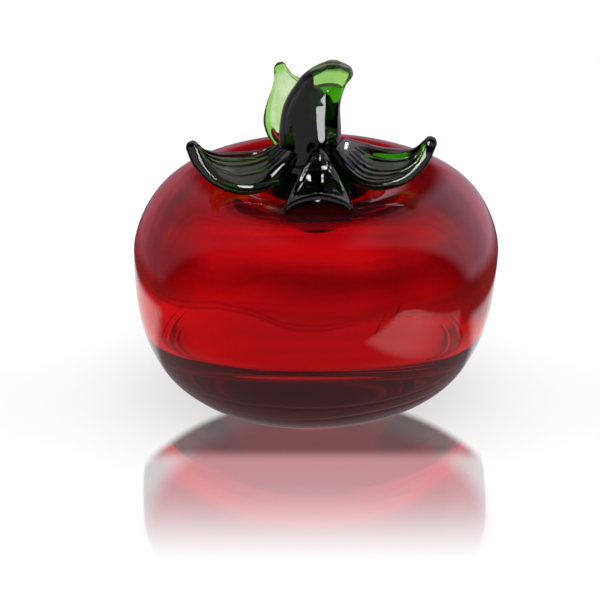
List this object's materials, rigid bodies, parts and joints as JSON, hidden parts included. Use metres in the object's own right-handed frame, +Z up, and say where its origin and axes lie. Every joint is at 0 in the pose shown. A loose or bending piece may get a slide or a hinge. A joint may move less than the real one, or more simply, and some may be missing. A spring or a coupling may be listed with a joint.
{
  "type": "glass tomato figurine",
  "caption": "Hollow blown-glass tomato ornament in red, closed by a green glass calyx with curled leaves and a bent stem; stands on a flat base.",
  "frame": {"origin": "on the surface it stands on, under the middle of the widest ring", "axes": "+Z up, and the front, where the short blunt leaf points, faces -Y"},
  "size_m": [0.0861, 0.086, 0.0806],
  "materials": {
    "red_glass": "clear deep red blown glass, fire-polished",
    "green_glass": "dark green hot-worked glass, ribbed on the leaves, fire-polished"
  },
  "bodies": {
    "root": {"body_shell": "red_glass", "calyx_hub": "green_glass", "leaf_front": "green_glass", "leaf_left": "green_glass", "leaf_right": "green_glass", "leaf_back": "green_glass", "stem": "green_glass"}
  },
  "joints": []
}
